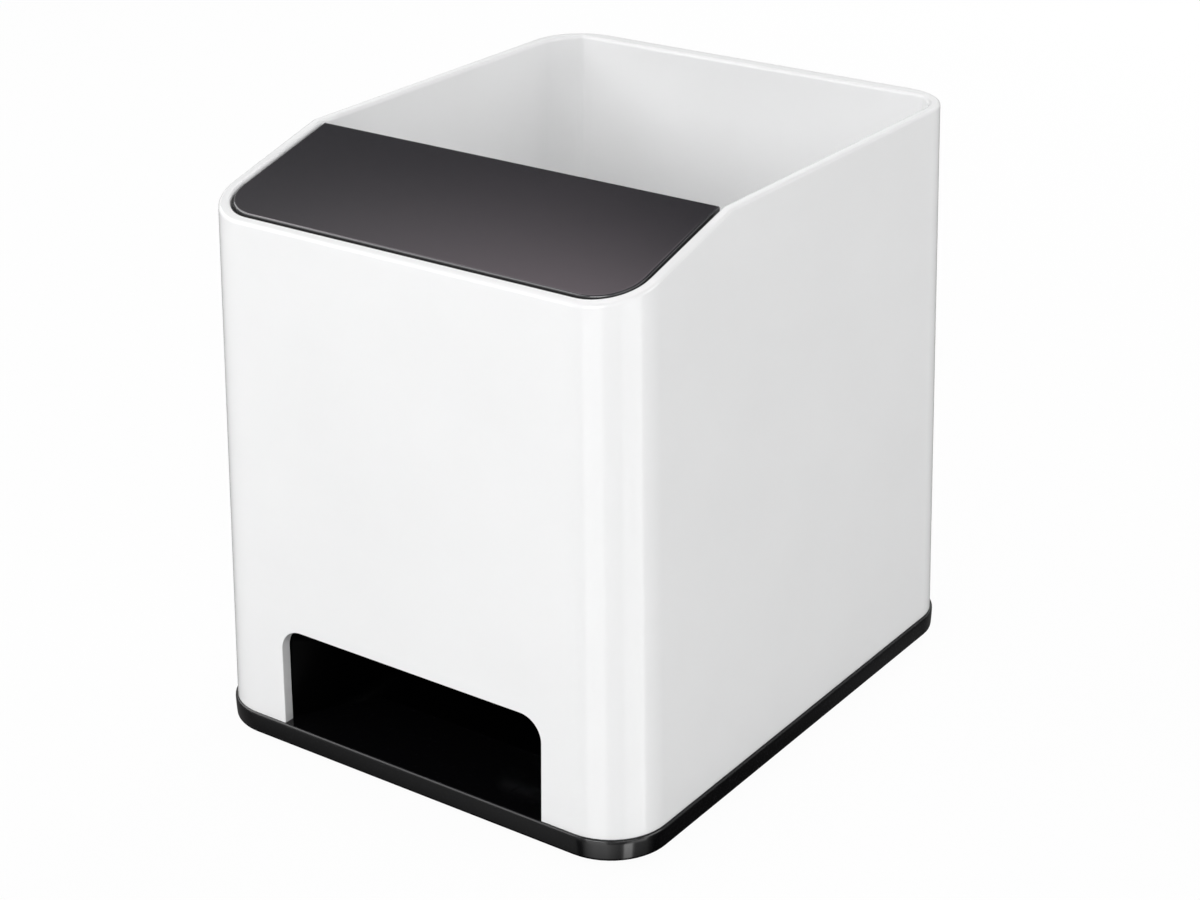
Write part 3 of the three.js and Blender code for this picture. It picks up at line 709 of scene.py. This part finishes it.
def horn_tree(settings, material):
    """The horn as a closed skin of sections on a path that turns a quarter, cut off at the deck and the wall."""
    numbers = [item for item in settings.bl_rna.properties if item.type in {"FLOAT", "INT"}]
    by_label = {item.name: getattr(settings, item.identifier) for item in numbers}
    tree = ShapeTree("Sound horn", **by_label, Finish=material)
    given = tree.inputs
    quarter = math.pi / 2
    sections = given["Path steps"] + 1
    corner_points = given["Corner steps"] + 1
    around = corner_points * 4
    index = tree.out("GeometryNodeInputIndex")
    columns = around + 1
    row = (index / columns).maths("FLOOR") % (sections * 2)
    place = (index % columns) % around
    inner = row.maths("GREATER_THAN", sections - 0.5)
    along = row + inner * (sections * 2 - 1 - row * 2)
    turn = along / given["Path steps"] * quarter
    corner = (place / corner_points).maths("FLOOR")
    angle = (corner + (place - corner * corner_points) / given["Corner steps"]) * quarter
    middle = (corner + 0.5) * quarter

    forward = 1 - cosine(turn)
    full = given["Flare"].maths("EXPONENT") - 1
    opened = ((forward * given["Flare"]).maths("EXPONENT") - 1) / full
    wall = given["Wall"] * (1 - inner)
    outlet_half = (given["Outlet top"] - given["Outlet floor"]) / 2
    half_x = between(given["Inlet half width"], given["Outlet half width"], opened) + wall
    half_v = between(given["Inlet half depth"], outlet_half, opened) + wall
    radius = between(given["Inlet corner"], given["Outlet corner"], opened) + wall
    off_x = cosine(middle).maths("SIGN") * (half_x - radius) + radius * cosine(angle)
    off_v = sine(middle).maths("SIGN") * (half_v - radius) + radius * sine(angle)

    run = given["Outlet front"] - given["Inlet middle"]
    fall = given["Outlet floor"] + outlet_half - given["Inlet top"]
    tangent_y = run * sine(turn)
    tangent_z = fall * cosine(turn)
    speed = (tangent_y * tangent_y + tangent_z * tangent_z).maths("SQRT")
    place_y = given["Inlet middle"] + run * forward + off_v * tangent_z / speed
    place_z = given["Inlet top"] + fall * sine(turn) - off_v * tangent_y / speed

    grid = tree.out("GeometryNodeMeshGrid", {"Vertices X": sections * 2 + 1, "Vertices Y": columns})
    skin = tree.out(
        "GeometryNodeSetPosition", {"Geometry": grid, "Position": tree.joined(off_x, place_y, place_z)}
    )
    closed = tree.out("GeometryNodeMergeByDistance", {"Geometry": skin, "Distance": WELD})

    block = 200 * MM  # larger than the horn
    cube = tree.out("GeometryNodeMeshCube", {"Size": (block, block, block)})
    under = tree.moved(cube, Translation=tree.joined(0.0, 0.0, given["Deck"] - block / 2))
    lean = (given["Front lean"] / (given["Outlet top"] - given["Deck"])).maths("ARCTANGENT")
    hinge = tree.joined(0.0, given["Front at the deck"], given["Deck"])
    before = tree.moved(cube, Translation=(0.0, -block / 2, 0.0))
    before = tree.moved(before, Translation=hinge, Rotation=tree.joined(lean * -1, 0.0, 0.0))
    cut = tree.node("GeometryNodeMeshBoolean", operation="DIFFERENCE", solver="EXACT")
    tree.tree.links.new(closed.socket, cut.inputs["Mesh 1"])
    for body in (under, before):
        tree.tree.links.new(body.socket, cut.inputs["Mesh 2"])
    tree.finish(Field(tree, cut.outputs["Mesh"]), given["Finish"])
    return tree


class HOLDER_OT_horn(bpy.types.Operator):
    """Make the black sound horn from its path, its two ends and its flare"""

    bl_idname = "holder.horn"
    bl_label = "Sound horn"

    def execute(self, context):
        settings = context.scene.holder_horn
        material = moulded_gloss("black horn plastic", settings.look)
        piece = horn_tree(settings, material).make("horn")
        if not piece.data.polygons:
            raise RuntimeError("the horn's tree made no faces")
        mesh = bmesh.new()
        mesh.from_mesh(piece.data)
        bmesh.ops.recalc_face_normals(mesh, faces=mesh.faces)
        mesh.to_mesh(piece.data)
        mesh.free()
        hand_over(smooth(piece), material, "horn_black", "sound_horn")
        return {"FINISHED"}


def turned(profile, steps):
    """A closed body turned round Z from a profile of radius and height that starts and ends on the axis."""
    mesh = bmesh.new()
    points = [mesh.verts.new((radius, 0, height)) for radius, height in profile]
    lines = [mesh.edges.new(pair) for pair in zip(points, points[1:])]
    bmesh.ops.spin(
        mesh, geom=points + lines, cent=(0, 0, 0), axis=(0, 0, 1), dvec=(0, 0, 0), angle=2 * math.pi, steps=steps,
        use_merge=True,
    )
    bmesh.ops.remove_doubles(mesh, verts=mesh.verts, dist=WELD)
    bmesh.ops.recalc_face_normals(mesh, faces=mesh.faces)
    return mesh


def quarter_round(radius):
    """Offsets from 0, 0 to radius, radius along a quarter circle that starts level."""
    angles = (math.pi / 2 * step / ROUND_STEPS for step in range(ROUND_STEPS + 1))
    return [(radius * math.sin(angle), radius * (1 - math.cos(angle))) for angle in angles]


def bar(size, middle):
    """A closed box."""
    mesh = bmesh.new()
    scale = Matrix.Diagonal((*size, 1))
    bmesh.ops.create_cube(mesh, size=1, matrix=Matrix.Translation(middle) @ scale)
    return mesh


def spread(name, master, places, height, material):
    """Sets copies of a master piece at the four corners of a rectangle, by Geometry Nodes, as one plain mesh."""
    half_width, half_depth = places
    tree = ShapeTree(name, Piece=master, Width=half_width * 2, Depth=half_depth * 2, Height=height, Finish=material)
    given = tree.inputs
    corners = {"Size X": given["Width"], "Size Y": given["Depth"], "Vertices X": 2, "Vertices Y": 2}
    grid = tree.out("GeometryNodeMeshGrid", corners)
    raised = tree.moved(grid, Translation=tree.joined(0.0, 0.0, given["Height"]))
    shape = tree.out("GeometryNodeObjectInfo", {"Object": given["Piece"]}, "Geometry")
    copies = tree.out("GeometryNodeInstanceOnPoints", {"Points": raised, "Instance": shape})
    tree.finish(copies, given["Finish"])
    piece = tree.make(name)
    data = master.data
    bpy.data.objects.remove(master)
    bpy.data.meshes.remove(data)
    return piece


class HOLDER_OT_foot_pads(bpy.types.Operator):
    """Make the four rubber pads under the base"""

    bl_idname = "holder.foot_pads"
    bl_label = "Foot pads"

    def execute(self, context):
        settings = context.scene.holder_fixings
        radius, rounding = settings.pad_radius, settings.pad_round
        lower = [(radius - rounding + out, up) for out, up in quarter_round(rounding)]
        profile = [(0, 0), *lower, (radius, settings.pad_thickness), (0, settings.pad_thickness)]
        master = plain_object("pad_master", turned(profile, PAD_SIDES))
        material = soft_rubber("soft pad rubber", settings.rubber)
        piece = spread("foot_pads", master, settings.pad_place, 0.0, material)
        hand_over(smooth(piece), material, "pad_rubber", *(f"foot_pad_{corner}" for corner in CORNERS))
        return {"FINISHED"}


class HOLDER_OT_screws(bpy.types.Operator):
    """Make the four pan-headed screws that hold the base"""

    bl_idname = "holder.screws"
    bl_label = "Base screws"

    def execute(self, context):
        settings = context.scene.holder_fixings
        head, height, rounding = settings.head_radius, settings.head_height, settings.head_round
        shank, end = settings.screw_radius, settings.screw_length
        lower = [(head - rounding + out, up - height) for out, up in quarter_round(rounding)]
        profile = [(0, -height), *lower, (head, 0), (shank, 0), (shank, end - shank), (0, end)]
        body = plain_object("screw_master", turned(profile, SCREW_SIDES))
        long, wide, deep = settings.cross_length, settings.cross_width, settings.cross_depth
        slots = {"cross_cutter": (long, wide, 2 * deep), "cross_cutter_2": (wide, long, 2 * deep)}
        tools = [plain_object(name, bar(size, Vector((0, 0, -height)))) for name, size in slots.items()]
        for tool in tools:
            cut = body.modifiers.new("Cross recess", "BOOLEAN")
            cut.operation = "DIFFERENCE"
            cut.solver = "EXACT"
            cut.object = tool
        master = baked(body)
        for tool in tools:
            bpy.data.objects.remove(tool)
        material = plated_steel("zinc-plated steel", settings.steel)
        piece = spread("base_screws", master, settings.screw_place, settings.screw_seat, material)
        hand_over(smooth(piece), material, "screw_zinc", *(f"base_screw_{corner}" for corner in CORNERS))
        return {"FINISHED"}


def heading(azimuth, height):
    """The direction at an angle from the front towards the right, and at a height above the horizon."""
    return Vector((
        math.sin(azimuth) * math.cos(height),
        -math.cos(azimuth) * math.cos(height),
        math.sin(height),
    ))


def add_camera(settings):
    """The camera at the photograph's angle."""
    azimuth, elevation, roll = settings.azimuth, settings.elevation, settings.roll
    back = heading(azimuth, elevation)
    level = Vector((math.cos(azimuth), math.sin(azimuth), 0))
    upright = back.cross(level)
    right = math.cos(roll) * level + math.sin(roll) * upright
    up = math.cos(roll) * upright - math.sin(roll) * level
    data = bpy.data.cameras.new("studio_camera")
    data.sensor_width = SENSOR
    data.lens = settings.lens
    data.clip_start = NEAREST
    data.clip_end = FARTHEST
    camera = bpy.data.objects.new("studio_camera", data)
    place = Vector(settings.target) + back * settings.distance
    camera.matrix_world = Matrix.Translation(place) @ Matrix((right, up, back)).transposed().to_4x4()
    bpy.context.scene.collection.objects.link(camera)
    bpy.context.scene.camera = camera


def add_lamp(name, azimuth, height, distance, size, watts, shown):
    """A square softbox that faces the holder's middle."""
    data = bpy.data.lights.new(name, "AREA")
    data.shape = "SQUARE"
    data.size = size
    data.energy = watts
    toward = heading(math.radians(azimuth), math.radians(height))
    place = MIDDLE + toward * distance
    holder = bpy.data.objects.new(name, data)
    holder.matrix_world = Matrix.Translation(place) @ (-toward).to_track_quat("-Z", "Y").to_matrix().to_4x4()
    holder.visible_glossy = shown
    bpy.context.scene.collection.objects.link(holder)


def round_cards(*stops):
    """Cards all round the holder, as degrees from the front towards the right, and brightness."""
    return [(degrees / 360 + 0.5, value) for degrees, value in stops]


def height_cards(*stops):
    """Cards by height above the horizon in degrees, and brightness. The lookup reads the height's sine."""
    return [(math.sin(math.radians(degrees)), value) for degrees, value in stops]


# Turn from the front and height in degrees, distance and width in metres, watts, and whether glosses show it.
LAMPS = {
    "front softbox": (10, 27, 0.9, 0.5, 3.5, True),
    "front left softbox": (-49, 38, 0.9, 0.6, 2.6, True),
    "left softbox": (-85, 35, 0.9, 0.5, 2.0, True),
    "right softbox": (60, 34, 0.7, 0.4, 0.7, True),
    "back right softbox": (104, 22, 0.6, 0.33, 0.92, True),
    "back softbox": (180, 27, 0.9, 0.5, 5.2, False),
}
# What the walls reflect, from the horizon down to FOOT_SHARE's heights.
LOW_CARDS = round_cards(
    (-180, 0.1), (-60, 0.12), (-32, 0.3), (-15, 0.3), (-9, 0.35), (-6, 1.5), (26, 1.8), (29, 0.6), (40, 0.4),
    (58, 0.25), (64, 1.1), (80, 1.5), (98, 2.2), (99, 0.35), (108, 0.15), (116, 0.02), (147, 0.02), (154, 0.1),
    (180, 0.1),
)
# What the base reflects, below that.
FOOT_CARDS = round_cards(
    (-180, 0.1), (-46, 0.1), (-38, 0.25), (-30, 0.25), (-26, 0.06), (-18, 0.08), (-9, 0.7), (5, 1.2), (27, 1.25),
    (35, 0.9), (50, 0.5), (56, 0.9), (58, 3.4), (71, 3.2), (74, 0.9), (78, 0.5), (100, 0.3), (108, 0.1),
    (115, 0.02), (152, 0.02), (160, 0.12), (180, 0.1),
)
FOOT_SHARE = height_cards((-32.5, 1), (-30.5, 0))
FOOT_FALL = height_cards((-75, 0.02), (-44, 0.25), (-38, 0.9), (-32, 1.35))
# What the rim and the panel reflect, above the horizon.
HIGH_CARDS = height_cards((0, 0.3), (14, 0.3), (18, 0.7), (29, 0.7), (33, 0.06), (90, 0.06))
HIGH_SHARE = height_cards((-2, 0), (2, 1))
# The warm card that the panel reflects, high behind the holder's left. It fades along a slant: height in radians,
# plus SHEEN_LEAN for each radian of turn, over SHEEN_SPAN.
WARM = (1.0, 0.8, 0.9, 1.0)
WARMTH = 0.4
SHEEN_TURN = round_cards((-165, 0), (-150, 1), (-112, 1), (-100, 0))
SHEEN_HEIGHT = height_cards((33, 0), (38, 0.22), (41, 0.7), (44, 1.35), (60, 1.35), (75, 0))
SHEEN_LEAN = 0.65
SHEEN_SPAN = math.radians(100)
SHEEN_SLANT = ((-0.437, 0), (-0.418, 1.0), (-0.405, 1.7))


def ray_kinds(graph):
    """1 or 0 for a ray from the camera, for one in a gloss and for one through something clear."""
    path = graph.node("ShaderNodeLightPath")
    return [Field(graph, path.outputs[f"Is {kind} Ray"]) for kind in ("Camera", "Glossy", "Transmission")]


def set_world(settings):
    """Even light on matt surfaces; for glosses, the studio's light and dark cards stand all round."""
    world = bpy.data.worlds.new("studio_world")
    world.use_nodes = True
    graph = Graph(world.node_tree)
    graph.tree.nodes.clear()
    direction = graph.out("ShaderNodeTexCoord", output="Generated")
    east, north, up = graph.split(direction)
    turn = east.maths("ARCTAN2", north * -1) / (2 * math.pi) + 0.5
    low = graph.lookup(turn, LOW_CARDS)
    foot = graph.lookup(turn, FOOT_CARDS) * graph.lookup(up, FOOT_FALL)
    high = graph.lookup(up, HIGH_CARDS)
    cards = between(low, foot, graph.lookup(up, FOOT_SHARE))
    cards = between(cards, high, graph.lookup(up, HIGH_SHARE))
    slant = (up.maths("ARCSINE") + (turn - 0.5) * (2 * math.pi * SHEEN_LEAN)) / SHEEN_SPAN
    sheen = graph.lookup(turn, SHEEN_TURN) * graph.lookup(up, SHEEN_HEIGHT) * graph.lookup(slant, SHEEN_SLANT)
    cards = cards + sheen * settings.sheen
    camera, glossy, clear = ray_kinds(graph)
    strength = between(settings.ambient, cards, glossy)
    strength = between(strength, 1.0, camera.maths("MAXIMUM", clear))
    tint = graph.mix(sheen * glossy * WARMTH, (1, 1, 1, 1), WARM)
    background = graph.out("ShaderNodeBackground", {"Color": tint, "Strength": strength})
    graph.node("ShaderNodeOutputWorld", {"Surface": background})
    bpy.context.scene.world = world


def add_floor(settings):
    """A pale floor that takes the shadow, but shows the camera mostly the plain white backdrop."""
    mesh = bmesh.new()
    bmesh.ops.create_grid(mesh, x_segments=1, y_segments=1, size=settings.floor_size / 2)
    floor = plain_object("floor", mesh)
    material = bpy.data.materials.new("pale studio floor")
    material.use_nodes = True
    graph = Graph(material.node_tree)
    graph.tree.nodes.clear()
    paint = graph.out("ShaderNodeBsdfDiffuse", {"Color": (*settings.floor_colour, 1)})
    white = graph.out("ShaderNodeEmission", {"Color": (1, 1, 1, 1), "Strength": 1.0})
    camera, glossy, clear = ray_kinds(graph)
    shown = camera.maths("MAXIMUM", glossy).maths("MAXIMUM", clear)
    mixed = graph.out("ShaderNodeMixShader", {0: shown * settings.whiteness, 1: paint, 2: white})
    graph.node("ShaderNodeOutputMaterial", {"Surface": mixed})
    floor.data.materials.append(material)
    floor.visible_glossy = False


class HOLDER_OT_studio(bpy.types.Operator):
    """Set the camera, the soft lamps, the pale floor and the white backdrop"""

    bl_idname = "holder.studio"
    bl_label = "Studio"

    def execute(self, context):
        settings = context.scene.holder_studio
        add_camera(settings)
        for name, lamp in LAMPS.items():
            add_lamp(name, *lamp)
        set_world(settings)
        add_floor(settings)
        context.scene.view_settings.view_transform = "Standard"
        return {"FINISHED"}


class HOLDER_PT_sidebar(bpy.types.Panel):
    """The holder's pieces and its studio"""

    bl_idname = "HOLDER_PT_sidebar"
    bl_label = "Pen Holder"
    bl_space_type = "VIEW_3D"
    bl_region_type = "UI"
    bl_category = "Pen Holder"

    def draw(self, context):
        for maker in MAKERS:
            self.layout.operator(maker.bl_idname)


SETTINGS = {
    "holder_shell": ShellSettings,
    "holder_panel": PanelSettings,
    "holder_tray": TraySettings,
    "holder_cradle": CradleSettings,
    "holder_horn": HornSettings,
    "holder_fixings": FixingSettings,
    "holder_studio": StudioSettings,
}
MAKERS = (
    HOLDER_OT_studio,
    HOLDER_OT_shell,
    HOLDER_OT_panel,
    HOLDER_OT_tray,
    HOLDER_OT_cradle,
    HOLDER_OT_horn,
    HOLDER_OT_foot_pads,
    HOLDER_OT_screws,
)
CLASSES = (PlasticLook, GapSettings, *SETTINGS.values(), *MAKERS, HOLDER_PT_sidebar)


def register():
    for cls in CLASSES:
        bpy.utils.register_class(cls)
    for name, group in SETTINGS.items():
        setattr(bpy.types.Scene, name, PointerProperty(type=group))


def unregister():
    for name in SETTINGS:
        delattr(bpy.types.Scene, name)
    for cls in reversed(CLASSES):
        bpy.utils.unregister_class(cls)


def set_looks(scene):
    """The finishes' own values, where they differ from the defaults."""
    looks = {
        scene.holder_shell.look: {
            "colour": (0.895, 0.897, 0.9), "wear_and_highlight_colour": (0.85, 0.85, 0.85), "roughness": 0.05, "haze": 0.03,
        },
        scene.holder_cradle.look: {
            "colour": (0.86, 0.862, 0.865), "wear_and_highlight_colour": (0.9, 0.9, 0.9), "roughness": 0.28,
        },
        # The panel's light worn colour paints a highlight on its rounded edges.
        scene.holder_panel.look: {
            "colour": (0.0122, 0.0127, 0.0158), "wear_and_highlight_colour": (0.4, 0.385, 0.405), "roughness": 0.12,
            "level": 1.0, "haze": 0.03, "polish": 0.04, "wear_and_highlight": 0.6, "edge_gain": 8.0, "wave_depth": 0.0015 * MM,
            "flow_size": 30 * MM,
        },
        # The tray's light worn colour paints a highlight along its upper edges.
        scene.holder_tray.look: {
            "colour": (0.0022, 0.0022, 0.0026), "wear_and_highlight_colour": (0.36, 0.36, 0.37), "roughness": 0.1,
            "haze": 0.03, "wear_and_highlight": 0.9, "edge_width": 0.3 * MM, "edge_gain": 9.0,
        },
        scene.holder_horn.look: {
            "colour": (0.0004, 0.0004, 0.0005), "wear_and_highlight_colour": (0.002, 0.002, 0.002), "roughness": 0.3,
            "level": 0.02,
        },
        scene.holder_fixings.rubber: {
            "colour": (0.012, 0.012, 0.013), "wear_and_highlight_colour": (0.06, 0.058, 0.055), "roughness": 0.82,
            "level": 0.35, "haze": 0.12, "wave_depth": 0.02 * MM, "grain_size": 0.3 * MM, "flow_size": 2.5 * MM,
        },
        scene.holder_fixings.steel: {
            "colour": (0.42, 0.425, 0.43), "roughness": 0.34, "haze": 0.14, "wave_depth": 0.003 * MM,
            "flow_size": 1.6 * MM,
        },
    }
    for look, values in looks.items():
        for name, value in values.items():
            setattr(look, name, value)


def main():
    register()
    set_looks(bpy.context.scene)
    for maker in MAKERS:
        area, word = maker.bl_idname.split(".")
        getattr(getattr(bpy.ops, area), word)()


if __name__ == "__main__":
    main()
